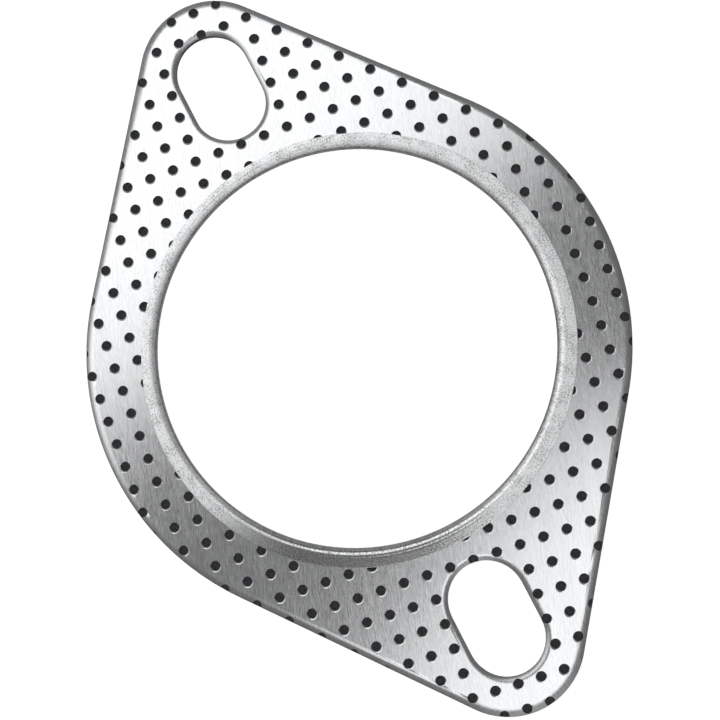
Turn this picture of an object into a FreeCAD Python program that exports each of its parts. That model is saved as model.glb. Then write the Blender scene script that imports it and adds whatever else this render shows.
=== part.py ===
import FreeCAD, Part
import math
import os
import Sketcher

# Two-bolt exhaust gasket for a flanged pipe joint, lying flat as it would on a bench.
# A soft graphite core lies between two perforated steel facings, and a folded steel ring
# clamps all three together round the bore.
# Z runs along the bore and X along the bolt line. The origin is on the bore's axis, in the
# plane that the gasket lies on. Lengths are in millimetres and angles in degrees.

# Driving dimensions: name, value, meaning
SIZES = (
    ("bore_diameter", 63.5, "clear bore inside the ring, for a 2.5 inch pipe"),
    ("flange_width", 3.15, "how far each flange of the ring reaches out from the bore"),
    ("ring_sheet", 0.25, "sheet that the ring is folded from"),
    ("fold_bevel", 0.35, "eased corner where the bore wall folds into a flange"),
    ("ring_clearance", 0.1, "gap between the ring's wall and the openings behind it"),
    ("body_diameter", 86.6, "width of the gasket across the bore"),
    ("lobe_diameter", 23.8, "round end outside each bolt slot"),
    ("lobe_spacing", 101.9, "between the centres of the two round ends"),
    ("slot_spacing", 95.5, "between the centres of the two bolt slots"),
    ("slot_width", 12.0, "bolt slot across the bolt line"),
    ("slot_length", 18.3, "bolt slot along the bolt line, end to end"),
    ("core_thickness", 0.9, "graphite between the facings"),
    ("facing_thickness", 0.35, "sheet of each facing"),
    ("edge_slope_width", 0.7, "pressed-down band along the outline and the slots"),
    ("edge_slope_depth", 0.25, "how far that band is pressed down at its rim"),
    ("hole_diameter", 1.6, "perforation"),
    ("hole_sides", 5, "flats round a perforation, kept few because there are so many"),
    ("hole_pitch", 3.9, "between the holes of the middle row"),
    ("pitch_change", -0.0095, "change of that pitch from each row to the next"),
    ("row_pitch", 3.94, "between rows"),
    ("feed_angle", -7.0, "direction in which the rows follow each other, from X"),
    ("row_lean", -1.15, "how far the middle row leans from square to that direction"),
    ("row_turn", -0.08, "turn of each row against the one before"),
    ("lattice_x", -2.0, "place of the middle hole of the middle row, along X"),
    ("lattice_y", -1.6, "place of the middle hole of the middle row, along Y"),
)

doc = FreeCAD.newDocument("ExhaustGasket")
sheet = doc.addObject("Spreadsheet::Sheet", "Sizes")
for row, (alias, value, meaning) in enumerate(SIZES, start=1):
    sheet.set(f"A{row}", alias)
    sheet.set(f"B{row}", str(value))
    sheet.set(f"C{row}", meaning)
    sheet.setAlias(f"B{row}", alias)
doc.recompute()


def size(alias):
    """The value of a driving dimension."""
    return float(sheet.get(alias))


# Heights of the layers, from the lower flange up. The lower flange lies on the bench and
# each layer lies on the one below it.
BACK_LOW = "Sizes.ring_sheet"
CORE_LOW = f"({BACK_LOW} + Sizes.facing_thickness)"
FRONT_LOW = f"({CORE_LOW} + Sizes.core_thickness)"
FRONT_TOP = f"({FRONT_LOW} + Sizes.facing_thickness)"
RING_TOP = f"({FRONT_TOP} + Sizes.ring_sheet)"
front_low = size("ring_sheet") + size("facing_thickness") + size("core_thickness")
front_top = front_low + size("facing_thickness")
ring_top = front_top + size("ring_sheet")

# Outer radius of the ring's flanges
FLANGE = "(Sizes.bore_diameter / 2 + Sizes.flange_width)"
flange_radius = size("bore_diameter") / 2 + size("flange_width")

# Radius of the openings in the core and the facings, just outside the ring's wall
OPENING = "(Sizes.bore_diameter / 2 + Sizes.ring_sheet + Sizes.ring_clearance)"
opening_radius = size("bore_diameter") / 2 + size("ring_sheet") + size("ring_clearance")

# Sheet left between a bolt slot and that opening
SLOT_WALL = f"((Sizes.slot_spacing - Sizes.slot_length) / 2 - {OPENING})"


def new_body(name):
    body = doc.addObject("PartDesign::Body", name)
    body.Label = name
    return body


def new_sketch(body, name, role):
    """A sketch on one of its own body's origin planes."""
    plane = next(item for item in body.Origin.OriginFeatures if item.Role == role)
    sketch = body.newObject("Sketcher::SketchObject", name)
    sketch.AttachmentSupport = [(plane, "")]
    sketch.MapMode = "FlatFace"
    return sketch


def drive(sketch, kind, geometry, guess, name, expression):
    """Add a named size constraint and tie it to the sheet."""
    sketch.addConstraint(Sketcher.Constraint(kind, *geometry, guess))
    sketch.renameConstraint(sketch.ConstraintCount - 1, name)
    sketch.setExpression(f"Constraints.{name}", expression)


def arc(centre_x, radius, start, end):
    """An arc about a point of the X axis, anticlockwise between two angles in radians."""
    circle = Part.Circle(FreeCAD.Vector(centre_x, 0, 0), FreeCAD.Vector(0, 0, 1), radius)
    return Part.ArcOfCircle(circle, start, end)


def add_tangent_loop(sketch, arcs):
    """Join arcs into a loop by straight lines, each piece tangent to the next.

    Returns the geometry numbers of the arcs.
    """
    pieces = []
    for index, piece in enumerate(arcs):
        following = arcs[(index + 1) % len(arcs)]
        pieces.append(piece)
        pieces.append(Part.LineSegment(piece.EndPoint, following.StartPoint))
    numbers = [sketch.addGeometry(piece, False) for piece in pieces]
    for index, number in enumerate(numbers):
        following = numbers[(index + 1) % len(numbers)]
        sketch.addConstraint(Sketcher.Constraint("Tangent", number, 2, following, 1))
    return numbers[::2]


def contour_tangent_angle():
    """Angle from X to the normal of the straight flank between body and round end."""
    radius_difference = (size("body_diameter") - size("lobe_diameter")) / 2
    return math.acos(radius_difference / (size("lobe_spacing") / 2))


def add_contour(sketch):
    """The outer contour: a round body and a smaller round end on each side, joined by flanks."""
    body_radius = size("body_diameter") / 2
    lobe_radius = size("lobe_diameter") / 2
    reach = size("lobe_spacing") / 2
    angle = contour_tangent_angle()
    right, upper, left, lower = add_tangent_loop(
        sketch,
        (
            arc(reach, lobe_radius, -angle, angle),
            arc(0, body_radius, angle, math.pi - angle),
            arc(-reach, lobe_radius, math.pi - angle, math.pi + angle),
            arc(0, body_radius, math.pi + angle, 2 * math.pi - angle),
        ),
    )
    for body_arc in (upper, lower):
        sketch.addConstraint(Sketcher.Constraint("Coincident", body_arc, 3, -1, 1))
    for lobe_arc in (right, left):
        sketch.addConstraint(Sketcher.Constraint("PointOnObject", lobe_arc, 3, -1))
    sketch.addConstraint(Sketcher.Constraint("Equal", upper, lower))
    sketch.addConstraint(Sketcher.Constraint("Equal", right, left))
    reach_sum = "Sizes.lobe_spacing / 2"
    drive(sketch, "Radius", (upper,), body_radius, "body_radius", "Sizes.body_diameter / 2")
    drive(sketch, "Radius", (right,), lobe_radius, "lobe_radius", "Sizes.lobe_diameter / 2")
    drive(sketch, "DistanceX", (-1, 1, right, 3), reach, "right_reach", reach_sum)
    drive(sketch, "DistanceX", (left, 3, -1, 1), reach, "left_reach", reach_sum)


def add_slot(sketch, word, side):
    """A bolt slot along the bolt line, towards +X (side 1) or towards -X (side -1)."""
    radius = size("slot_width") / 2
    half_run = size("slot_length") / 2 - radius
    middle = side * size("slot_spacing") / 2
    right, left = add_tangent_loop(
        sketch,
        (
            arc(middle + half_run, radius, -math.pi / 2, math.pi / 2),
            arc(middle - half_run, radius, math.pi / 2, 1.5 * math.pi),
        ),
    )
    for end in (right, left):
        sketch.addConstraint(Sketcher.Constraint("PointOnObject", end, 3, -1))
    sketch.addConstraint(Sketcher.Constraint("Equal", right, left))
    drive(sketch, "Radius", (right,), radius, f"{word}_radius", "Sizes.slot_width / 2")
    run_sum = "(Sizes.slot_length - Sizes.slot_width)"
    drive(sketch, "DistanceX", (left, 3, right, 3), 2 * half_run, f"{word}_run", run_sum)
    outer, distance = (right, (-1, 1, right, 3)) if side > 0 else (left, (left, 3, -1, 1))
    far = size("slot_spacing") / 2 + half_run
    drive(sketch, "DistanceX", distance, far, f"{word}_far", f"Sizes.slot_spacing / 2 + {run_sum} / 2")


def add_opening(sketch):
    """The round opening that the ring's wall passes through."""
    circle = Part.Circle(FreeCAD.Vector(0, 0, 0), FreeCAD.Vector(0, 0, 1), opening_radius)
    number = sketch.addGeometry(circle, False)
    sketch.addConstraint(Sketcher.Constraint("Coincident", number, 3, -1, 1))
    drive(sketch, "Radius", (number,), opening_radius, "opening_radius", OPENING)


def add_plate(body, low_sum, thickness_sum):
    """Pad the gasket's contour with its two bolt slots and its opening."""
    sketch = new_sketch(body, f"{body.Label}_contour", "XY_Plane")
    sketch.setExpression("AttachmentOffset.Base.z", low_sum)
    add_contour(sketch)
    add_slot(sketch, "right_slot", 1)
    add_slot(sketch, "left_slot", -1)
    add_opening(sketch)
    plate = body.newObject("PartDesign::Pad", f"{body.Label}_plate")
    plate.Profile = sketch
    plate.setExpression("Length", thickness_sum)
    doc.recompute()
    return plate


def rim_edges(shape, height):
    """Names of the edges at one height that run round the contour or a bolt slot."""
    names = []
    for number, edge in enumerate(shape.Edges, start=1):
        level = all(abs(vertex.Z - height) < 1e-6 for vertex in edge.Vertexes)
        round_edge = isinstance(edge.Curve, Part.Circle)
        at_opening = round_edge and abs(edge.Curve.Radius - opening_radius) < 1e-6
        if level and not at_opening:
            names.append(f"Edge{number}")
    return names


def add_edge_slope(body, plate):
    """Press the front rim down: a shallow slope along the contour and both slots.

    It takes up nine tenths of the sheet beside the opening at most.
    """
    slope = body.newObject("PartDesign::Chamfer", f"{body.Label}_edge_slope")
    slope.Base = (plate, rim_edges(plate.Shape, front_top))
    slope.ChamferType = "Two distances"
    slope.FlipDirection = True
    slope.setExpression("Size", f"min(Sizes.edge_slope_width; 0.9 * {SLOT_WALL})")
    slope.setExpression("Size2", "Sizes.edge_slope_depth")
    doc.recompute()


def contour_distance(x, y):
    """Distance from the outer contour, negative inside it."""
    body_radius = size("body_diameter") / 2
    lobe_radius = size("lobe_diameter") / 2
    reach = size("lobe_spacing") / 2
    angle = contour_tangent_angle()
    x, y = abs(x), abs(y)
    along_flank = x * math.sin(angle) - y * math.cos(angle)
    if along_flank < 0:
        return math.hypot(x, y) - body_radius
    if along_flank > reach * math.sin(angle):
        return math.hypot(x - reach, y) - lobe_radius
    return x * math.cos(angle) + y * math.sin(angle) - body_radius


def slot_distance(x, y):
    """Distance from the wall of the nearer bolt slot, negative inside the slot."""
    radius = size("slot_width") / 2
    half_run = size("slot_length") / 2 - radius
    offset = abs(x) - size("slot_spacing") / 2
    beyond_run = offset - max(-half_run, min(half_run, offset))
    return math.hypot(beyond_run, y) - radius


def hole_centres():
    """Centres of the perforations that open on bare sheet.

    The sheet is punched in rows before it is blanked, so some holes run out over its edges.
    A hole whose centre is off the sheet or under the ring's flange is left out.
    """
    feed = math.radians(size("feed_angle"))
    half_length = (size("lobe_spacing") + size("lobe_diameter")) / 2
    half_rows = math.ceil((half_length + abs(size("lattice_x"))) / size("row_pitch")) + 1
    half_row = math.ceil((half_length + abs(size("lattice_y"))) / size("hole_pitch")) + 1
    centres = []
    for row in range(-half_rows, half_rows + 1):
        along = feed + math.radians(90 + size("row_lean") + row * size("row_turn"))
        pitch = size("hole_pitch") + row * size("pitch_change")
        start_x = size("lattice_x") + row * size("row_pitch") * math.cos(feed)
        start_y = size("lattice_y") + row * size("row_pitch") * math.sin(feed)
        for column in range(-half_row, half_row + 1):
            x = start_x + column * pitch * math.cos(along)
            y = start_y + column * pitch * math.sin(along)
            on_sheet = contour_distance(x, y) < 0 and slot_distance(x, y) > 0
            if on_sheet and math.hypot(x, y) > flange_radius:
                centres.append((x, y))
    return centres


def punch_pin(x, y, low, height):
    """A prism that cuts one perforation, with the area of the round hole."""
    sides = int(size("hole_sides"))
    step = 2 * math.pi / sides
    radius = size("hole_diameter") / 2 * math.sqrt(step / math.sin(step))
    corners = [
        FreeCAD.Vector(x + radius * math.cos(side * step), y + radius * math.sin(side * step), low)
        for side in range(sides)
    ]
    outline = Part.makePolygon(corners + corners[:1])
    return Part.Face(outline).extrude(FreeCAD.Vector(0, 0, height))


def build_core():
    """The graphite sheet, face to face with both facings."""
    core = new_body("core")
    add_plate(core, CORE_LOW, "Sizes.core_thickness")
    return core


def build_facing_front():
    """The front sheet: blanked, its rim pressed down, and perforated."""
    blank = new_body("facing_blank")
    plate = add_plate(blank, FRONT_LOW, "Sizes.facing_thickness")
    add_edge_slope(blank, plate)
    overrun = size("facing_thickness")
    pins = [
        punch_pin(x, y, front_low - overrun, 3 * overrun)
        for x, y in hole_centres()
    ]
    punches = doc.addObject("Part::Feature", "facing_punches")
    punches.Shape = Part.makeCompound(pins)
    facing = doc.addObject("Part::Cut", "facing_front")
    facing.Label = "facing_front"
    facing.Base = blank
    facing.Tool = punches
    doc.recompute()
    if facing.Shape.Volume >= blank.Shape.Volume:
        raise RuntimeError("the perforations removed nothing")
    return facing


def build_facing_back(front):
    """The same sheet on the other side, mirrored in the gasket's middle plane."""
    facing = doc.addObject("Part::Mirroring", "facing_back")
    facing.Label = "facing_back"
    facing.Source = front
    facing.Normal = FreeCAD.Vector(0, 0, 1)
    facing.setExpression("Base.z", f"{RING_TOP} / 2")
    doc.recompute()
    return facing


def add_ring_section(sketch):
    """The ring's section: a bore wall with a flange folded out at each end."""
    bore = size("bore_diameter") / 2
    flange = flange_radius
    gauge = size("ring_sheet")
    bevel = size("fold_bevel")
    corners = (
        (bore + bevel, 0),
        (flange, 0),
        (flange, gauge),
        (bore + gauge, gauge),
        (bore + gauge, ring_top - gauge),
        (flange, ring_top - gauge),
        (flange, ring_top),
        (bore + bevel, ring_top),
        (bore, ring_top - bevel),
        (bore, bevel),
    )
    points = [FreeCAD.Vector(radius, height, 0) for radius, height in corners]
    numbers = []
    for start, end in zip(points, points[1:] + points[:1]):
        numbers.append(sketch.addGeometry(Part.LineSegment(start, end), False))
    for number, following in zip(numbers, numbers[1:] + numbers[:1]):
        sketch.addConstraint(Sketcher.Constraint("Coincident", number, 2, following, 1))
    low_face, low_rim, low_back, wall_back, top_back, top_rim, top_face, _, wall, _ = numbers
    for line in (low_face, low_back, top_back, top_face):
        sketch.addConstraint(Sketcher.Constraint("Horizontal", line))
    for line in (low_rim, wall_back, top_rim, wall):
        sketch.addConstraint(Sketcher.Constraint("Vertical", line))
    sketch.addConstraint(Sketcher.Constraint("PointOnObject", low_face, 1, -1))
    sketch.addConstraint(Sketcher.Constraint("Equal", low_face, top_face))
    sketch.addConstraint(Sketcher.Constraint("Equal", low_back, top_back))
    sketch.addConstraint(Sketcher.Constraint("Equal", low_rim, top_rim))
    bore_sum = "Sizes.bore_diameter / 2"
    drive(sketch, "DistanceX", (-1, 1, wall, 1), bore, "bore_radius", bore_sum)
    drive(sketch, "DistanceX", (-1, 1, low_rim, 1), flange, "flange_radius", FLANGE)
    drive(sketch, "DistanceX", (wall, 1, wall_back, 1), gauge, "wall_sheet", "Sizes.ring_sheet")
    drive(sketch, "DistanceY", (low_rim, 1, low_rim, 2), gauge, "flange_sheet", "Sizes.ring_sheet")
    drive(sketch, "DistanceX", (wall, 2, low_face, 1), bevel, "bevel_width", "Sizes.fold_bevel")
    drive(sketch, "DistanceY", (low_face, 1, wall, 2), bevel, "low_bevel", "Sizes.fold_bevel")
    drive(sketch, "DistanceY", (wall, 1, top_face, 2), bevel, "top_bevel", "Sizes.fold_bevel")
    drive(sketch, "DistanceY", (-1, 1, top_face, 2), ring_top, "ring_height", RING_TOP)


def build_ring():
    """The folded ring: its section turned once round the bore's axis."""
    body = new_body("bore_ring")
    sketch = new_sketch(body, "ring_section", "XZ_Plane")
    add_ring_section(sketch)
    ring = body.newObject("PartDesign::Revolution", "ring_turn")
    ring.Profile = sketch
    ring.ReferenceAxis = (sketch, ["V_Axis"])
    ring.Angle = 360
    doc.recompute()
    return body


core = build_core()
facing_front = build_facing_front()
facing_back = build_facing_back(facing_front)
bore_ring = build_ring()
doc.recompute()

for item in doc.Objects:
    if "Invalid" in item.State or "Error" in item.State:
        raise RuntimeError(f"{item.Label} failed: {item.State}")

os.makedirs("parts", exist_ok=True)
pieces = (facing_front, core, facing_back, bore_ring)
for piece in pieces:
    if piece.Shape.isNull() or not piece.Shape.isValid():
        raise RuntimeError(f"{piece.Label} has no valid shape")
for piece in pieces:
    piece.Shape.exportStep(f"parts/{piece.Label}.step")
    print(piece.Label, "solids", len(piece.Shape.Solids), "volume", round(piece.Shape.Volume, 3))
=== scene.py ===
import math

import bmesh
import bpy
from bpy.props import FloatProperty, FloatVectorProperty, IntProperty, PointerProperty
from mathutils import Matrix, Vector


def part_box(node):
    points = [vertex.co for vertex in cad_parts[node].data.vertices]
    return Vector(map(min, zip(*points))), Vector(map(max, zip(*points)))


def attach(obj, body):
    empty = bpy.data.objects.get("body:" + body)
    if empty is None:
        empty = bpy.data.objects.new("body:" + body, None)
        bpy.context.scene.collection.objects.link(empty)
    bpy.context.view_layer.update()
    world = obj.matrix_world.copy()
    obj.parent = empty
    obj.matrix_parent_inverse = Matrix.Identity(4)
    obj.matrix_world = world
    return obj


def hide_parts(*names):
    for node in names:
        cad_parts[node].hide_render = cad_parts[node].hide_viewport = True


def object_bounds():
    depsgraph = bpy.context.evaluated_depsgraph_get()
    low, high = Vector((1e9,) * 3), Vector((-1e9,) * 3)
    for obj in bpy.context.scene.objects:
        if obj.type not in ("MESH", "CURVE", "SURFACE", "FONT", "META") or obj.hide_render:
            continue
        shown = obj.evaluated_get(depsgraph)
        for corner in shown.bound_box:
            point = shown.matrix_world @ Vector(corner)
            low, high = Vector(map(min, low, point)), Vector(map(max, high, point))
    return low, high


bl_info = {
    "name": "Exhaust Gasket",
    "version": (1, 0, 0),
    "blender": (4, 5, 0),
    "location": "View3D > Sidebar > Gasket",
    "description": "Finished sheets, ring and studio for a perforated two-bolt exhaust gasket",
    "category": "Object",
}

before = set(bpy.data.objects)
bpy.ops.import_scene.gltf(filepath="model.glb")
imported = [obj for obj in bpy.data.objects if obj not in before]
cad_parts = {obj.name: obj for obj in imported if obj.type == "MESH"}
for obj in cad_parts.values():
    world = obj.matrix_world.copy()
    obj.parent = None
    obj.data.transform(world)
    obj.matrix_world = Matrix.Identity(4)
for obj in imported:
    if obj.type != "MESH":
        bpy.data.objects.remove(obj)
CAD_LOW, CAD_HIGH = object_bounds()
FACING_LOW, FACING_HIGH = (corner.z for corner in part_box("facing_front"))
RING_LOW, RING_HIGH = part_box("bore_ring")
MIDDLE_HEIGHT = (CAD_LOW.z + CAD_HIGH.z) / 2

# Shapes are worked in millimetres and brought to metres when a piece is finished
MM = 0.001

# Points nearer than this, in millimetres, count as one
TOUCH = 1e-4

# Steps along each curve, and cuts across the flat of the ring's flange
LOBE_STEPS = 40
BODY_STEPS = 72
SLOT_STEPS = 32
OPENING_STEPS = 192
HOLE_STEPS = 24
ROLL_STEPS = 7
FOLD_STEPS = 14
TIP_STEPS = 4
FLANGE_CUTS = 36

# Cosines between a face and a level one, for a level face, a slight slope and a steeper one
LEVEL, SLIGHT_SLOPE, STEEPER_SLOPE = 0.99999, 0.995, 0.87

# How far in millimetres the large openings are cut past the sheet. The holes' pins take half
OVERSHOOT = 1

# Rows and columns of holes to each side of the middle hole, enough to pass the outline
LATTICE_REACH = 18

# Steps down into a perforation: width and drop, as shares of the mouth's width
MOUTH_STEPS = ((0.7, 0.26), (0.3, 0.4))

# The inside of a fold is this share of its outside, which clears the core's corner
INNER_DROP, INNER_REACH = 0.55, 0.54

# Fine rings left by folding: wavelength in millimetres, share of the height, and phase
RIPPLES = ((0.47, 1.0, 0.0), (0.29, 0.6, 1.3), (0.83, 0.5, 0.4))

# From the middle of the groove round the flange to about a third of its depth, in millimetres
GROOVE_HALF_WIDTH = 0.12

# Lamps: name, place and size in metres, turn in degrees, and the setting for brightness
PANELS = (
    ("left_panel", (-0.2396, -0.19, 0.5), (0.27, 0.66), (0, 0, 5.5), "panel"),
    ("right_panel", (0.124, -0.004, 0.5), (0.16, 0.28), (0, 0, 29), "panel"),
    ("side_panel", (0.5, -0.05, 0.3), (0.5, 0.5), (0, 60, 0), "side"),
)

# Rise of a direction, from 0 level to 1 upright, where the room's walls fade into its ceiling
WALL_TOP, CEILING_EDGE = 0.26, 0.6

# Point that the camera looks at
CAMERA_AIM = Vector((2.59, -0.29, 1.75)) * MM

WHITE = (1.0, 1.0, 1.0, 1.0)


def length_prop(name, description, millimetres):
    return FloatProperty(
        name=name, description=description, default=millimetres * MM, unit="LENGTH", precision=5
    )


def angle_prop(name, description, degrees):
    return FloatProperty(
        name=name, description=description, default=math.radians(degrees), subtype="ANGLE"
    )


def colour_prop(name, description, colour):
    return FloatVectorProperty(
        name=name, description=description, default=colour, subtype="COLOR", size=3, min=0, max=1
    )


def brightness_prop(name, description, strength):
    return FloatProperty(name=name, description=description, default=strength, min=0)


class GasketSheetSettings(bpy.types.PropertyGroup):
    body_radius: length_prop("Body radius", "Round middle of the outline", 43.3)
    lobe_radius: length_prop("Lobe radius", "Round end outside each bolt slot", 11.9)
    lobe_reach: length_prop("Lobe reach", "From the bore's axis to a round end's centre", 50.95)
    slot_reach: length_prop("Slot reach", "From the bore's axis to a bolt slot's centre", 47.75)
    slot_radius: length_prop("Slot radius", "Half the width of a bolt slot", 6.0)
    slot_run: length_prop("Slot run", "Straight part of a bolt slot", 6.3)
    opening_radius: length_prop("Opening radius", "Round opening under the ring's flanges", 32.95)
    roll_width: length_prop("Roll width", "Rolled-down band along the outline", 1.4)
    roll_slope: angle_prop("Roll slope", "Steepest part of that band", 23.0)
    slot_roll: length_prop("Slot roll", "Rolled-down band round a bolt slot", 1.0)
    slot_slope: angle_prop("Slot slope", "Steepest part of that band", 32.0)
    hole_radius: length_prop("Hole radius", "Half the width of a perforation", 0.76)
    hole_mouth: length_prop("Hole mouth", "Width of the drawn-in rim of a perforation", 0.13)
    mouth_shift: length_prop("Mouth shift", "How far that rim is out of centre", 0.1)
    mouth_side: angle_prop("Mouth side", "Direction from X in which it is wider", -15)
    hole_pitch: length_prop("Hole pitch", "Between the holes of the middle row", 3.92)
    pitch_change: length_prop("Pitch change", "Change of that pitch per row", -0.0095)
    pitch_bow: length_prop("Pitch bow", "Further change of it per row squared", -0.0006)
    row_pitch: length_prop("Row pitch", "Between rows of holes", 3.94)
    lattice_x: length_prop("Lattice X", "Place of the middle hole along the bolt line", -2.0)
    lattice_y: length_prop("Lattice Y", "Place of the middle hole across the bolt line", -1.6)
    feed_angle: angle_prop("Feed angle", "Direction in which the rows follow each other", -7.0)
    row_lean: angle_prop("Row lean", "Lean of the middle row from square to it", -1.15)
    row_turn: angle_prop("Row turn", "Turn of each row against the one before", -0.08)


class GasketRingSettings(bpy.types.PropertyGroup):
    sheet: length_prop("Ring sheet", "Thickness that the ring is folded from", 0.25)
    flange_width: length_prop("Flange width", "From the bore to the flanges' outer edge", 3.15)
    fold_reach: length_prop("Fold reach", "Length of the folds' curve across the flange", 1.4)
    fold_drop: length_prop("Fold drop", "Length of the folds' curve down the bore wall", 0.98)
    narrowing: length_prop("Narrowing", "How much narrower the flanges are at one side", 1.0)
    wide_side: angle_prop("Wide side", "Direction from X in which they are widest", 20)
    tip_radius: length_prop("Tip radius", "Eased edge of the flanges", 0.06)
    groove_radius: length_prop(
        "Groove radius", "Faint groove round the middle of the flange", 33.35
    )
    groove_depth: length_prop("Groove depth", "Depth of that groove", 0.008)
    ripple: length_prop("Ripple", "Height of the fine rings left by folding", 0.001)
    steps: IntProperty(name="Steps", description="Divisions round the ring", default=288, min=32)


class GasketFinishSettings(bpy.types.PropertyGroup):
    steel: colour_prop("Facing steel", "Brushed sheet", (0.66, 0.67, 0.68))
    zinc: colour_prop("Ring steel", "Grainy sheet of the ring", (0.88, 0.89, 0.90))
    # Also the side whose colour is painted darker, as painted shade
    smooth_painted_shade_side: angle_prop("Smooth side", "Direction from X of the ring's smoother part", -25)
    graphite: colour_prop("Graphite", "Pressed core", (0.036, 0.037, 0.040))
    brush_angle: angle_prop("Brush direction", "Direction of the brush lines from X", -18.8)


class GasketStageSettings(bpy.types.PropertyGroup):
    floor: colour_prop("Floor", "Plain pale floor", (0.86, 0.86, 0.86))
    floor_size: length_prop("Floor size", "Side of the floor", 6000)
    sky: brightness_prop("Ceiling", "Brightness of the room overhead", 0.2)
    wall: brightness_prop("Walls", "Brightness of the room low down", 0.65)
    panel: brightness_prop("Panels", "Brightness of the upper panels", 1.5)
    side: brightness_prop("Side panel", "Brightness of the side panel", 0.45)
    camera_distance: length_prop("Distance", "From the camera to its aim point", 233.9)
    camera_tilt: angle_prop("Tilt", "Of the view from straight down", 9.05)
    camera_side: angle_prop("Side", "Direction of that tilt from X", 13.7)
    camera_top: angle_prop("Top", "Direction of the picture's top from X", 152.72)
    camera_lens: FloatProperty(
        name="Lens", description="Focal length", default=74.35, unit="CAMERA"
    )


# Shared mesh steps


def add_loop(bm, arcs, height):
    """A closed face from arcs about points of the X axis, joined by straight runs.

    Each arc is (centre x, radius, start angle, sweep, steps).
    """
    ends = []
    for centre_x, radius, start, sweep, steps in arcs:
        corner = (centre_x + radius * math.cos(start), radius * math.sin(start), height)
        first = bm.verts.new(corner)
        turned = bmesh.ops.spin(
            bm, geom=[first], cent=(centre_x, 0, 0), axis=(0, 0, 1), angle=sweep, steps=steps
        )
        ends.append((first, turned["geom_last"][0]))
    for (_, last), (following, _) in zip(ends, ends[1:] + ends[:1]):
        bm.edges.new((last, following))
    return bmesh.ops.edgeloop_fill(bm, edges=bm.edges[:])["faces"][0]


def pull(bm, face, distance):
    """Extrude a face straight along Z. A lone face stays behind as the other end's cap."""
    lone = all(edge.is_boundary for edge in face.edges)
    pulled = bmesh.ops.extrude_face_region(bm, geom=[face])["geom"]
    if not lone:
        bmesh.ops.delete(bm, geom=[face], context="FACES_ONLY")
    verts = [part for part in pulled if isinstance(part, bmesh.types.BMVert)]
    bmesh.ops.translate(bm, vec=(0, 0, distance), verts=verts)
    top = next(part for part in pulled if isinstance(part, bmesh.types.BMFace))
    top.normal_update()
    return top


def step_in(bm, face, width, rise):
    """Inset a level face and move it along Z."""
    face.normal_update()
    depth = rise if face.normal.z > 0 else -rise
    bmesh.ops.inset_region(
        bm, faces=[face], thickness=width, depth=depth, use_boundary=True, use_even_offset=True
    )


def roll_bands(width, slope):
    """Width and drop of each band round a rolled edge, from the flat side out."""
    radius = width / math.sin(slope)
    angles = [slope * band / ROLL_STEPS for band in range(ROLL_STEPS + 1)]
    return [
        (
            radius * (math.sin(outer) - math.sin(inner)),
            radius * (math.cos(inner) - math.cos(outer)),
        )
        for inner, outer in zip(angles, angles[1:])
    ]


def new_piece(name, bm, sharp_angle):
    """Bring a mesh from millimetres to metres and make it an object."""
    bmesh.ops.remove_doubles(bm, verts=bm.verts[:], dist=TOUCH)
    bmesh.ops.recalc_face_normals(bm, faces=bm.faces[:])
    bmesh.ops.scale(bm, vec=(MM, MM, MM), verts=bm.verts[:])
    mesh = bpy.data.meshes.new(name)
    bm.to_mesh(mesh)
    bm.free()
    mesh.shade_smooth()
    mesh.set_sharp_from_angle(angle=sharp_angle)
    piece = bpy.data.objects.new(name, mesh)
    bpy.context.collection.objects.link(piece)
    return piece


def keep_flats_flat(mesh):
    """Level faces keep their normal where slopes meet them.

    A slight slope starts from that normal too, and a steeper one with its own.
    """
    upright = {
        vertex: face.normal.copy()
        for face in mesh.polygons if abs(face.normal.z) > LEVEL
        for vertex in face.vertices
    }
    normals = [corner.vector.copy() for corner in mesh.corner_normals]
    for face in mesh.polygons:
        for index, vertex in zip(face.loop_indices, face.vertices):
            level = upright.get(vertex)
            if level and face.normal.dot(level) > SLIGHT_SLOPE:
                normals[index] = level
            elif level and face.normal.dot(level) > STEEPER_SLOPE:
                normals[index] = face.normal
    mesh.normals_split_custom_set(normals)


def helper_object(name, bm):
    """A passing object for the Boolean, which takes the place of its bmesh."""
    mesh = bpy.data.meshes.new(name)
    bm.to_mesh(mesh)
    bm.free()
    helper = bpy.data.objects.new(name, mesh)
    bpy.context.collection.objects.link(helper)
    return helper


def cut_away(blank, cutters):
    """Take cutters out of a blank, one after the other, and return the mesh that is left."""
    worked = helper_object("blank", blank)
    helpers = [helper_object("cutter", cutter) for cutter in cutters]
    for helper in helpers:
        cut = worked.modifiers.new("Cut", "BOOLEAN")
        cut.operation = "DIFFERENCE"
        cut.solver = "EXACT"
        cut.object = helper
    depsgraph = bpy.context.evaluated_depsgraph_get()
    result = bmesh.new()
    result.from_object(worked, depsgraph)
    wide = [face for face in result.faces if len(face.verts) > 4]
    bmesh.ops.triangulate(result, faces=wide, quad_method="BEAUTY", ngon_method="BEAUTY")
    for helper in helpers + [worked]:
        mesh = helper.data
        bpy.data.objects.remove(helper)
        bpy.data.meshes.remove(mesh)
    return result


def close_solid(bm, gathered):
    """Turn a closed mesh's faces outwards and move it into a gathering one."""
    bmesh.ops.recalc_face_normals(bm, faces=bm.faces[:])
    mesh = bpy.data.meshes.new("solid")
    bm.to_mesh(mesh)
    bm.free()
    gathered.from_mesh(mesh)
    bpy.data.meshes.remove(mesh)


# The perforated sheets


def contour_sizes(sheet):
    """Reach, body and lobe radius in millimetres, and the angle where a flank touches them."""
    reach, body, lobe = (
        value / MM for value in (sheet.lobe_reach, sheet.body_radius, sheet.lobe_radius)
    )
    return reach, body, lobe, math.acos((body - lobe) / reach)


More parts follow.
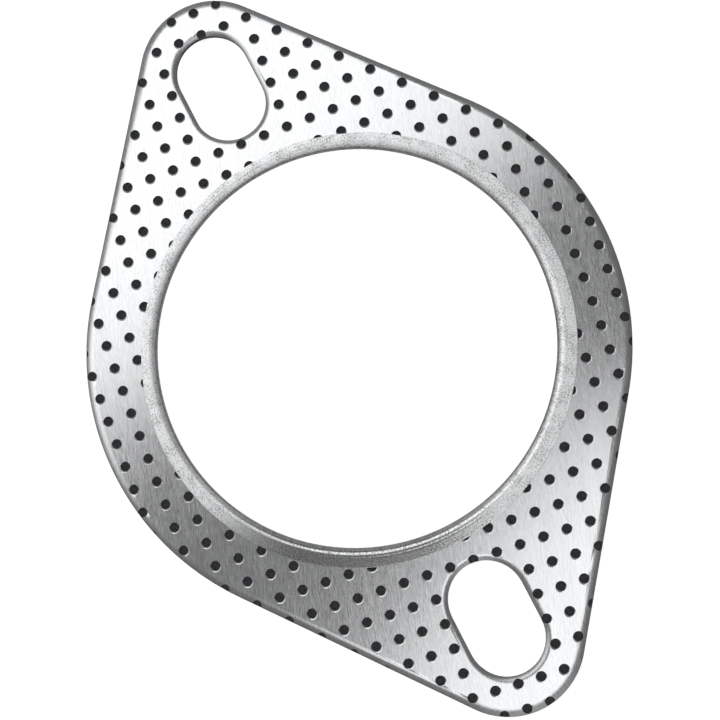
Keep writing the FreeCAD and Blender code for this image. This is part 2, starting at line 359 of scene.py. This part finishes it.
def contour_arcs(sheet):
    reach, body, lobe, tangent = contour_sizes(sheet)
    across = math.pi - 2 * tangent
    return (
        (reach, lobe, -tangent, 2 * tangent, LOBE_STEPS),
        (0, body, tangent, across, BODY_STEPS),
        (-reach, lobe, math.pi - tangent, 2 * tangent, LOBE_STEPS),
        (0, body, math.pi + tangent, across, BODY_STEPS),
    )


def slot_arcs(sheet, side, grow):
    radius = sheet.slot_radius / MM + grow
    middle = side * sheet.slot_reach / MM
    half_run = sheet.slot_run / MM / 2
    return (
        (middle + half_run, radius, -math.pi / 2, math.pi, SLOT_STEPS),
        (middle - half_run, radius, math.pi / 2, math.pi, SLOT_STEPS),
    )


def contour_distance(sheet, x, y):
    """Distance from the outline in millimetres, negative inside it."""
    reach, body, lobe, tangent = contour_sizes(sheet)
    x, y = abs(x), abs(y)
    along_flank = x * math.sin(tangent) - y * math.cos(tangent)
    if along_flank < 0:
        return math.hypot(x, y) - body
    if along_flank > reach * math.sin(tangent):
        return math.hypot(x - reach, y) - lobe
    return x * math.cos(tangent) + y * math.sin(tangent) - body


def slot_distance(sheet, x, y):
    """Distance from the nearer bolt slot's wall in millimetres, negative inside the slot."""
    half_run = sheet.slot_run / MM / 2
    offset = abs(x) - sheet.slot_reach / MM
    beyond_run = offset - max(-half_run, min(half_run, offset))
    return math.hypot(beyond_run, y) - sheet.slot_radius / MM


def hole_centres(sheet, covered):
    """Centres of the perforations that open on bare sheet beyond the covered radius."""
    reach = sheet.hole_radius / MM
    feed = sheet.feed_angle
    pitch_of_rows = sheet.row_pitch / MM
    centres = []
    for row in range(-LATTICE_REACH, LATTICE_REACH + 1):
        along = feed + math.radians(90) + sheet.row_lean + row * sheet.row_turn
        pitch = (sheet.hole_pitch + row * sheet.pitch_change + row * row * sheet.pitch_bow) / MM
        start_x = sheet.lattice_x / MM + row * pitch_of_rows * math.cos(feed)
        start_y = sheet.lattice_y / MM + row * pitch_of_rows * math.sin(feed)
        for column in range(-LATTICE_REACH, LATTICE_REACH + 1):
            x = start_x + column * pitch * math.cos(along)
            y = start_y + column * pitch * math.sin(along)
            opens = contour_distance(sheet, x, y) < reach and slot_distance(sheet, x, y) > -reach
            if opens and math.hypot(x, y) > covered - reach:
                centres.append((x, y))
    return centres


def sheet_blank(sheet, low, high):
    """The blanked sheet with its rolled-down outline, still without openings."""
    bands = roll_bands(sheet.roll_width / MM, sheet.roll_slope)
    rim = high - sum(drop for _, drop in bands)
    bm = bmesh.new()
    face = pull(bm, add_loop(bm, contour_arcs(sheet), low), rim - low)
    for width, drop in reversed(bands):
        step_in(bm, face, width, drop)
    bmesh.ops.recalc_face_normals(bm, faces=bm.faces[:])
    return bm


def opening_cutter(sheet, low, high):
    """What is taken out for both bolt slots, with rolled-down mouths, and for the ring."""
    roll = sheet.slot_roll / MM
    gathered = bmesh.new()
    for side in (1, -1):
        bm = bmesh.new()
        face = add_loop(bm, slot_arcs(sheet, side, roll), high + OVERSHOOT)
        face = pull(bm, face, -OVERSHOOT)
        for width, drop in roll_bands(roll, sheet.slot_slope):
            step_in(bm, face, width, -drop)
        pull(bm, face, low - OVERSHOOT - high)
        close_solid(bm, gathered)
    bm = bmesh.new()
    bmesh.ops.create_circle(
        bm, cap_ends=True, segments=OPENING_STEPS, radius=sheet.opening_radius / MM,
        matrix=Matrix.Translation((0, 0, high + OVERSHOOT)),
    )
    pull(bm, bm.faces[:][0], low - 2 * OVERSHOOT - high)
    close_solid(bm, gathered)
    return gathered


def perforation_cutter(sheet, low, high, covered):
    """All punches: round pins that flare at the top for the drawn-in rim of each hole."""
    mouth = sheet.hole_mouth / MM
    radius = sheet.hole_radius / MM
    shift = sheet.mouth_shift / MM
    aside = Vector((math.cos(sheet.mouth_side), math.sin(sheet.mouth_side), 0)) * shift
    lead = OVERSHOOT / 2
    bm = bmesh.new()
    bmesh.ops.create_circle(
        bm, cap_ends=True, segments=HOLE_STEPS, radius=radius + mouth,
        matrix=Matrix.Translation(aside + Vector((0, 0, high + lead))),
    )
    face = pull(bm, bm.faces[:][0], -lead)
    for width, drop in MOUTH_STEPS:
        step_in(bm, face, mouth * width, -mouth * drop)
        bmesh.ops.translate(bm, vec=-aside * width, verts=face.verts[:])
    pull(bm, face, low - lead - high)
    bmesh.ops.recalc_face_normals(bm, faces=bm.faces[:])
    pin = bm.verts[:] + bm.edges[:] + bm.faces[:]
    for x, y in hole_centres(sheet, covered):
        copied = bmesh.ops.duplicate(bm, geom=pin)["geom"]
        verts = [part for part in copied if isinstance(part, bmesh.types.BMVert)]
        bmesh.ops.translate(bm, vec=(x, y, 0), verts=verts)
    bmesh.ops.delete(bm, geom=pin, context="VERTS")
    return bm


def mark_rims(mesh, sheet):
    """Store how far each vertex is into a rolled band, from 0 on the flat to 1 at its edge."""
    rim = mesh.attributes.new("Rim", "FLOAT", "POINT")
    for vertex, value in zip(mesh.vertices, rim.data):
        x, y = vertex.co.x / MM, vertex.co.y / MM
        outer = 1 + contour_distance(sheet, x, y) * MM / sheet.roll_width
        inner = 1 - slot_distance(sheet, x, y) * MM / sheet.slot_roll
        value.value = max(0, min(1, max(outer, inner)))


def finish_facing(name, bm, sheet, material, node):
    piece = new_piece(name, bm, sharp_angle=math.radians(30))
    mark_rims(piece.data, sheet)
    piece.data.materials.append(material)
    keep_flats_flat(piece.data)
    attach(piece, "root")
    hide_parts(node)


class GASKET_OT_facings(bpy.types.Operator):
    """Build the two perforated steel facings with rolled rims round outline and slots"""

    bl_idname = "gasket.facings"
    bl_label = "Perforated Facings"

    def execute(self, context):
        sheet = context.scene.gasket_sheet
        low, high = FACING_LOW / MM, FACING_HIGH / MM
        covered = (RING_HIGH.x - context.scene.gasket_ring.narrowing) / MM
        cutters = (
            opening_cutter(sheet, low, high), perforation_cutter(sheet, low, high, covered)
        )
        front = cut_away(sheet_blank(sheet, low, high), cutters)
        if not front.faces:
            raise RuntimeError("the facing came out empty")
        back = front.copy()
        middle = Matrix.Translation((0, 0, -MIDDLE_HEIGHT / MM))
        bmesh.ops.scale(back, vec=(1, 1, -1), verts=back.verts[:], space=middle)
        material = facing_material(context.scene.gasket_finish)
        finish_facing("facing_front_sheet", front, sheet, material, "facing_front")
        finish_facing("facing_back_sheet", back, sheet, material, "facing_back")
        return {"FINISHED"}


# The folded ring


def ring_relief(ring, radius):
    """Depth of the fine folding rings and the groove at a radius of the flange, in millimetres."""
    waves = sum(
        share * math.sin(radius * 2 * math.pi / wavelength + phase)
        for wavelength, share, phase in RIPPLES
    )
    crest = sum(share for _, share, _ in RIPPLES)
    from_groove = (radius - ring.groove_radius / MM) / GROOVE_HALF_WIDTH
    groove = ring.groove_depth / MM * math.exp(-from_groove * from_groove)
    return ring.ripple / MM * (waves + crest) / (2 * crest) + groove


def ring_section(ring, bore, flange):
    """The edges of the ring's U-section: the bore wall, both folds and both flanges."""
    gauge = ring.sheet / MM
    tip = ring.tip_radius / MM
    drop, reach = ring.fold_drop / MM, ring.fold_reach / MM
    inner_drop, inner_reach = INNER_DROP * drop, INNER_REACH * reach
    low, high = RING_LOW.z / MM, RING_HIGH.z / MM
    inside = bore + gauge
    # Each corner's radius and height, then the length of its curve down and across
    corners = (
        (bore, low, drop, reach),
        (flange, low, tip, tip),
        (flange, low + gauge, tip, tip),
        (inside, low + gauge, inner_drop, inner_reach),
        (inside, high - gauge, inner_drop, inner_reach),
        (flange, high - gauge, tip, tip),
        (flange, high, tip, tip),
        (bore, high, drop, reach),
    )
    bm = bmesh.new()
    verts = [bm.verts.new((radius, 0, height)) for radius, height, _, _ in corners]
    bm.faces.new(verts)
    for vert, (radius, _, down, across) in zip(verts, corners):
        rounded = bmesh.ops.bevel(
            bm, geom=[vert], offset=down, offset_type="OFFSET",
            segments=TIP_STEPS if down == tip else FOLD_STEPS,
            profile=0.5, affect="VERTICES", material=-1,
        )
        for corner in rounded["verts"]:
            corner.co.x = radius + (corner.co.x - radius) * across / down
    bmesh.ops.delete(bm, geom=bm.faces[:], context="FACES_ONLY")

    def on_face(vert, height):
        return abs(vert.co.z - height) < TOUCH

    half_flat = (flange - tip - bore - reach) / 2
    flats = [
        edge for edge in bm.edges
        if edge.calc_length() > half_flat
        and (on_face(edge.verts[0], low) or on_face(edge.verts[0], high))
    ]
    bmesh.ops.subdivide_edges(bm, edges=flats, cuts=FLANGE_CUTS)
    for vert in bm.verts:
        on_flange = bore + reach < vert.co.x < flange - tip
        if on_flange and on_face(vert, high):
            vert.co.z -= ring_relief(ring, vert.co.x)
        elif on_flange and on_face(vert, low):
            vert.co.z += ring_relief(ring, vert.co.x)
    return bm


def narrow_flanges(bm, ring, bore, flange):
    """Draw the flanges' outer edge in towards one side, while the folds stay round."""
    fold_end = bore + ring.fold_reach / MM
    for vert in bm.verts:
        radius = math.hypot(vert.co.x, vert.co.y)
        azimuth = math.atan2(vert.co.y, vert.co.x)
        narrowed = ring.narrowing / MM * ((1 - math.cos(azimuth - ring.wide_side)) / 2) ** 2
        share = max(0, radius - fold_end) / (flange - fold_end)
        vert.co.xy *= (radius - share * narrowed) / radius


class GASKET_OT_ring(bpy.types.Operator):
    """Build the folded steel ring that clamps the facings round the bore"""

    bl_idname = "gasket.ring"
    bl_label = "Folded Ring"

    def execute(self, context):
        ring = context.scene.gasket_ring
        flange = RING_HIGH.x / MM
        bore = flange - ring.flange_width / MM
        bm = ring_section(ring, bore, flange)
        bmesh.ops.spin(
            bm, geom=bm.verts[:] + bm.edges[:], cent=(0, 0, 0), axis=(0, 0, 1),
            angle=2 * math.pi, steps=ring.steps, use_merge=True,
        )
        narrow_flanges(bm, ring, bore, flange)
        piece = new_piece("bore_ring_fold", bm, sharp_angle=math.radians(35))
        piece.data.materials.append(ring_material(context.scene.gasket_finish, bore * MM))
        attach(piece, "root")
        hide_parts("bore_ring")
        return {"FINISHED"}


class GASKET_OT_core(bpy.types.Operator):
    """Give the graphite core its finish"""

    bl_idname = "gasket.core"
    bl_label = "Graphite Core"

    def execute(self, context):
        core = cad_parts["core"]
        core.data.materials.clear()
        core.data.materials.append(graphite_material(context.scene.gasket_finish))
        return {"FINISHED"}


# Finishes


class Nodes:
    """Short ways to add and join nodes of one tree."""

    def __init__(self, tree):
        self.tree = tree

    def add(self, kind, settings=None, **inputs):
        node = self.tree.nodes.new(kind)
        for name, value in (settings or {}).items():
            setattr(node, name, value)
        for name, value in inputs.items():
            self.put(node.inputs[name.replace("_", " ")], value)
        return node

    def put(self, socket, value):
        if isinstance(value, bpy.types.NodeSocket):
            self.tree.links.new(value, socket)
        else:
            socket.default_value = value

    def math(self, operation, first, second=None):
        node = self.add("ShaderNodeMath", {"operation": operation})
        self.put(node.inputs[0], first)
        if second is not None:
            self.put(node.inputs[1], second)
        return node.outputs[0]

    def weigh(self, first, share, second):
        """Mean of two values, the first one counting for its share."""
        return self.math(
            "ADD", self.math("MULTIPLY", first, share), self.math("MULTIPLY", second, 1 - share)
        )

    def ramp(self, value, low, high, to_low=0.0, to_high=1.0):
        node = self.add("ShaderNodeMapRange", {"clamp": True})
        for name, number in (
            ("Value", value), ("From Min", low), ("From Max", high),
            ("To Min", to_low), ("To Max", to_high),
        ):
            self.put(node.inputs[name], number)
        return node.outputs[0]

    def noise(self, vector, scale, detail=2.0, roughness=0.5):
        node = self.add(
            "ShaderNodeTexNoise", Vector=vector, Scale=scale, Detail=detail, Roughness=roughness
        )
        return node.outputs["Fac"]

    def mix(self, share, first, second):
        node = self.add("ShaderNodeMix", {"data_type": "RGBA"})
        factor, start, end = node.inputs[0], node.inputs[6], node.inputs[7]
        for socket, value in ((factor, share), (start, first), (end, second)):
            self.put(socket, value)
        return node.outputs[2]


def new_group(name, inputs, outputs):
    """A group of number sockets. Returns its tree and helper, its inputs and its end node."""
    tree = bpy.data.node_groups.new(name, "ShaderNodeTree")
    for label, default in inputs.items():
        socket = tree.interface.new_socket(label, in_out="INPUT", socket_type="NodeSocketFloat")
        socket.default_value = default
    for label in outputs:
        tree.interface.new_socket(label, in_out="OUTPUT", socket_type="NodeSocketFloat")
    nodes = Nodes(tree)
    return tree, nodes, nodes.add("NodeGroupInput").outputs, nodes.add("NodeGroupOutput")


def brushed_group():
    """Long fine brush lines with softer cloudy streaks between them."""
    tree, nodes, given, out = new_group(
        "Brushed lines", {"Angle": 0.0}, ("Lines", "Streaks", "Height")
    )
    place = nodes.add("ShaderNodeTexCoord").outputs["Object"]
    turn = nodes.add("ShaderNodeCombineXYZ", Z=nodes.math("MULTIPLY", given["Angle"], -1.0))
    turned = nodes.add(
        "ShaderNodeVectorRotate", {"rotation_type": "EULER_XYZ"},
        Vector=place, Rotation=turn.outputs[0],
    )

    def streaks(length, width, detail, roughness):
        stretched = nodes.add(
            "ShaderNodeMapping", Vector=turned.outputs[0], Scale=(1 / length, 1 / width, 1 / width)
        )
        return nodes.noise(stretched.outputs[0], 1.0, detail, roughness)

    fine = streaks(length=0.0013, width=0.00008, detail=2.0, roughness=0.6)
    hair = streaks(length=0.0028, width=0.00015, detail=1.0, roughness=0.5)
    cloudy = streaks(length=0.014, width=0.002, detail=2.0, roughness=0.5)
    nodes.put(out.inputs["Lines"], nodes.ramp(nodes.weigh(fine, 0.7, hair), 0.33, 0.67))
    nodes.put(out.inputs["Streaks"], nodes.ramp(cloudy, 0.3, 0.7))
    nodes.put(out.inputs["Height"], fine)
    return tree


def zinc_group():
    """Crystal grain of the ring's sheet, drawn out into fine rings about the bore's axis.

    Radius is the distance from that axis, and Smooth is 1 towards the smooth side, which the
    ring's finish also darkens with painted shade.
    """
    tree, nodes, given, out = new_group(
        "Zinc grain", {"Grain Size": 0.0002, "Smooth Side": 0.0},
        ("Grain", "Rings", "Radius", "Smooth", "Height"),
    )
    place = nodes.add("ShaderNodeTexCoord").outputs["Object"]
    parts = nodes.add("ShaderNodeSeparateXYZ", Vector=place).outputs
    squares = [nodes.math("POWER", parts[axis], 2.0) for axis in ("X", "Y")]
    radius = nodes.math("SQRT", nodes.math("ADD", *squares))
    grain = nodes.noise(place, nodes.math("DIVIDE", 1.0, given["Grain Size"]), 3.0, 0.7)
    section = nodes.add("ShaderNodeCombineXYZ", X=radius, Y=parts["Z"])
    rings = nodes.noise(section.outputs[0], 5200.0, 2.0, 0.6)
    patches = nodes.noise(place, 420.0, 2.0, 0.5)
    broken = nodes.math("MULTIPLY", rings, nodes.ramp(patches, 0.35, 0.65, 0.4, 1.0))
    aside = nodes.add(
        "ShaderNodeCombineXYZ",
        X=nodes.math("COSINE", given["Smooth Side"]), Y=nodes.math("SINE", given["Smooth Side"]),
    )
    along = nodes.add("ShaderNodeVectorMath", {"operation": "DOT_PRODUCT"})
    nodes.put(along.inputs[0], place)
    nodes.put(along.inputs[1], aside.outputs[0])
    towards = nodes.math("DIVIDE", along.outputs["Value"], radius)
    nodes.put(out.inputs["Grain"], nodes.ramp(grain, 0.4, 0.56))
    nodes.put(out.inputs["Rings"], nodes.ramp(broken, 0.2, 0.5))
    nodes.put(out.inputs["Radius"], radius)
    nodes.put(out.inputs["Smooth"], nodes.ramp(towards, 0.7, 0.95))
    nodes.put(out.inputs["Height"], nodes.weigh(grain, 0.6, broken))
    return tree


def graphite_group():
    """Flaky mottling of pressed graphite."""
    tree, nodes, given, out = new_group(
        "Pressed graphite", {"Flake Size": 0.00022}, ("Mottle", "Height")
    )
    place = nodes.add("ShaderNodeTexCoord").outputs["Object"]
    flakes = nodes.noise(place, nodes.math("DIVIDE", 1.0, given["Flake Size"]), 4.0, 0.65)
    nodes.put(out.inputs["Mottle"], nodes.ramp(flakes, 0.32, 0.68))
    nodes.put(out.inputs["Height"], flakes)
    return tree


def new_material(name):
    material = bpy.data.materials.new(name)
    material.use_nodes = True
    nodes = Nodes(material.node_tree)
    return material, nodes, material.node_tree.nodes["Principled BSDF"]


def use_group(nodes, tree, **inputs):
    return nodes.add("ShaderNodeGroup", {"node_tree": tree}, **inputs).outputs


def shade(colour, factor):
    return (*(channel * factor for channel in colour), 1.0)


def bumped(nodes, height, strength, distance):
    bump = nodes.add("ShaderNodeBump", Strength=strength, Distance=distance, Height=height)
    return bump.outputs["Normal"]


def facing_material(finish):
    """Brushed steel, duller where the rims are rolled down, whose colour is painted darker there
    as painted shade.
    """
    material, nodes, shader = new_material("brushed_facing_steel")
    marks = use_group(nodes, brushed_group(), Angle=finish.brush_angle)
    rim = nodes.add("ShaderNodeAttribute", {"attribute_name": "Rim"}).outputs["Fac"]
    colour = nodes.mix(marks["Lines"], shade(finish.steel, 0.78), shade(finish.steel, 1.15))
    # Painted shade: the rolled rims' colour darkens towards their edge, standing in for the dark
    # surroundings that these slopes reflect
    rim_painted_shade = nodes.ramp(rim, 0.25, 1.0, 0.0, 0.55)
    colour = nodes.mix(rim_painted_shade, colour, shade(finish.steel, 0.22))
    nodes.put(shader.inputs["Base Color"], colour)
    shader.inputs["Metallic"].default_value = 1.0
    line_rough = nodes.ramp(marks["Lines"], 0, 1, 0.16, 0.25)
    streak_rough = nodes.ramp(marks["Streaks"], 0, 1, -0.01, 0.015)
    rim_rough = nodes.ramp(rim, 0, 0.7, 0, 0.12)
    rough = nodes.math("ADD", nodes.math("ADD", line_rough, streak_rough), rim_rough)
    nodes.put(shader.inputs["Roughness"], rough)
    nodes.put(shader.inputs["Normal"], bumped(nodes, marks["Height"], 0.35, 0.000008))
    return material


def ring_material(finish, bore):
    """Grainy zinc: bright flanges with one smoother side painted darker as painted shade, and a
    bore wall painted dark as painted shade.
    """
    material, nodes, shader = new_material("zinc_ring_steel")
    marks = use_group(nodes, zinc_group(), Grain_Size=0.00026, Smooth_Side=finish.smooth_painted_shade_side)
    speckle = nodes.weigh(marks["Grain"], 0.65, marks["Rings"])
    bright = nodes.mix(
        nodes.ramp(speckle, 0.0, 0.7), shade(finish.zinc, 0.45), shade(finish.zinc, 1.11)
    )
    # Painted shade: towards the smooth side the flange colour is darkened, standing in for the
    # dark reflection that side shows
    painted_shade_side = nodes.mix(marks["Grain"], shade(finish.zinc, 0.12), shade(finish.zinc, 0.48))
    flange = nodes.mix(nodes.math("MULTIPLY", marks["Smooth"], 0.7), bright, painted_shade_side)
    # Painted shade: the bore wall and the start of the fold are painted dark, standing in for
    # shade inside the bore
    wall = nodes.mix(marks["Grain"], shade(finish.zinc, 0.1), shade(finish.zinc, 0.22))
    wall_end, flange_start = bore + 0.2 * MM, bore + 0.5 * MM
    on_flange = nodes.ramp(marks["Radius"], wall_end, flange_start)
    nodes.put(shader.inputs["Base Color"], nodes.mix(on_flange, wall, flange))
    shader.inputs["Metallic"].default_value = 1.0
    rough = nodes.ramp(speckle, 0, 1, 0.47, 0.39)
    rough = nodes.math("SUBTRACT", rough, nodes.math("MULTIPLY", marks["Smooth"], 0.24))
    nodes.put(shader.inputs["Roughness"], rough)
    nodes.put(shader.inputs["Normal"], bumped(nodes, marks["Height"], 0.3, 0.00001))
    return material


def graphite_material(finish):
    """Dull, slightly mottled graphite."""
    material, nodes, shader = new_material("pressed_graphite")
    marks = use_group(nodes, graphite_group())
    colour = nodes.mix(marks["Mottle"], shade(finish.graphite, 0.25), shade(finish.graphite, 2.2))
    nodes.put(shader.inputs["Base Color"], colour)
    shader.inputs["Specular IOR Level"].default_value = 0.25
    nodes.put(shader.inputs["Roughness"], nodes.ramp(marks["Mottle"], 0, 1, 0.85, 0.65))
    nodes.put(shader.inputs["Normal"], bumped(nodes, marks["Height"], 0.5, 0.00005))
    return material


# The studio


def floor_material(stage):
    """A pale floor that the camera and the metal see as white, and that keeps shadows."""
    material, nodes, shader = new_material("pale_floor")
    speckle = nodes.noise(nodes.add("ShaderNodeTexCoord").outputs["Object"], 900.0)
    colour = nodes.mix(
        nodes.ramp(speckle, 0.3, 0.7), shade(stage.floor, 0.99), shade(stage.floor, 1.0)
    )
    nodes.put(shader.inputs["Base Color"], colour)
    shader.inputs["Roughness"].default_value = 0.9
    rays = nodes.add("ShaderNodeLightPath").outputs
    seen = nodes.math("MAXIMUM", rays["Is Camera Ray"], rays["Is Glossy Ray"])
    seen = nodes.math("MAXIMUM", seen, rays["Is Transmission Ray"])
    nodes.put(shader.inputs["Emission Color"], WHITE)
    nodes.put(shader.inputs["Emission Strength"], nodes.math("MULTIPLY", seen, 0.7))
    return material


def add_floor(stage):
    bm = bmesh.new()
    bmesh.ops.create_grid(bm, x_segments=1, y_segments=1, size=stage.floor_size / 2)
    bmesh.ops.translate(bm, vec=(0, 0, CAD_LOW.z), verts=bm.verts[:])
    mesh = bpy.data.meshes.new("floor")
    bm.to_mesh(mesh)
    bm.free()
    mesh.materials.append(floor_material(stage))
    floor = bpy.data.objects.new("floor", mesh)
    bpy.context.collection.objects.link(floor)


def add_room(scene, stage):
    """A plain room whose walls are brighter than its ceiling."""
    room = bpy.data.worlds.new("room")
    room.use_nodes = True
    nodes = Nodes(room.node_tree)
    background = room.node_tree.nodes["Background"]
    background.inputs["Color"].default_value = WHITE
    towards = nodes.add("ShaderNodeTexCoord").outputs["Generated"]
    rise = nodes.add("ShaderNodeSeparateXYZ", Vector=towards).outputs["Z"]
    strength = nodes.ramp(rise, WALL_TOP, CEILING_EDGE, stage.wall, stage.sky)
    nodes.put(background.inputs["Strength"], strength)
    scene.world = room


def add_panel(name, place, size, turn, radiance):
    """A soft rectangular lamp, facing down before it is turned."""
    lamp = bpy.data.lights.new(name, "AREA")
    lamp.shape = "RECTANGLE"
    lamp.size, lamp.size_y = size
    lamp.energy = radiance * math.pi * size[0] * size[1]
    panel = bpy.data.objects.new(name, lamp)
    panel.location = place
    panel.rotation_euler = [math.radians(degrees) for degrees in turn]
    bpy.context.collection.objects.link(panel)


def add_camera(scene, stage):
    back = Vector((
        math.sin(stage.camera_tilt) * math.cos(stage.camera_side),
        math.sin(stage.camera_tilt) * math.sin(stage.camera_side),
        math.cos(stage.camera_tilt),
    ))
    top = Vector((math.cos(stage.camera_top), math.sin(stage.camera_top), 0))
    right = top.cross(back).normalized()
    lens = bpy.data.cameras.new("camera")
    lens.lens = stage.camera_lens
    lens.sensor_width = 36.0
    lens.clip_start = 0.01
    camera = bpy.data.objects.new("camera", lens)
    turned = Matrix((right, back.cross(right), back)).transposed().to_4x4()
    camera.matrix_world = Matrix.Translation(CAMERA_AIM + back * stage.camera_distance) @ turned
    bpy.context.collection.objects.link(camera)
    scene.camera = camera


class GASKET_OT_stage(bpy.types.Operator):
    """Add the pale floor, the room, the soft panels and the camera"""

    bl_idname = "gasket.stage"
    bl_label = "Studio"

    def execute(self, context):
        scene = context.scene
        stage = scene.gasket_stage
        add_floor(stage)
        add_room(scene, stage)
        for name, place, size, turn, brightness in PANELS:
            add_panel(name, place, size, turn, getattr(stage, brightness))
        add_camera(scene, stage)
        scene.view_settings.view_transform = "Standard"
        return {"FINISHED"}


class GASKET_PT_panel(bpy.types.Panel):
    """The steps and sizes of the gasket"""

    bl_label = "Exhaust Gasket"
    bl_space_type = "VIEW_3D"
    bl_region_type = "UI"
    bl_category = "Gasket"

    def draw(self, context):
        for operator in OPERATORS:
            self.layout.operator(operator.bl_idname)
        for group, cls in SETTINGS.items():
            column = self.layout.column()
            for name in cls.__annotations__:
                column.prop(getattr(context.scene, group), name)


SETTINGS = {
    "gasket_sheet": GasketSheetSettings,
    "gasket_ring": GasketRingSettings,
    "gasket_finish": GasketFinishSettings,
    "gasket_stage": GasketStageSettings,
}
OPERATORS = (GASKET_OT_facings, GASKET_OT_ring, GASKET_OT_core, GASKET_OT_stage)


def register():
    for cls in (*SETTINGS.values(), *OPERATORS, GASKET_PT_panel):
        bpy.utils.register_class(cls)
    for name, cls in SETTINGS.items():
        setattr(bpy.types.Scene, name, PointerProperty(type=cls))


def unregister():
    for name in SETTINGS:
        delattr(bpy.types.Scene, name)
    for cls in (GASKET_PT_panel, *reversed(OPERATORS), *reversed(SETTINGS.values())):
        bpy.utils.unregister_class(cls)


def main():
    register()
    bpy.ops.gasket.facings()
    bpy.ops.gasket.ring()
    bpy.ops.gasket.core()
    bpy.ops.gasket.stage()
    bpy.context.view_layer.update()


if __name__ == "__main__":
    main()
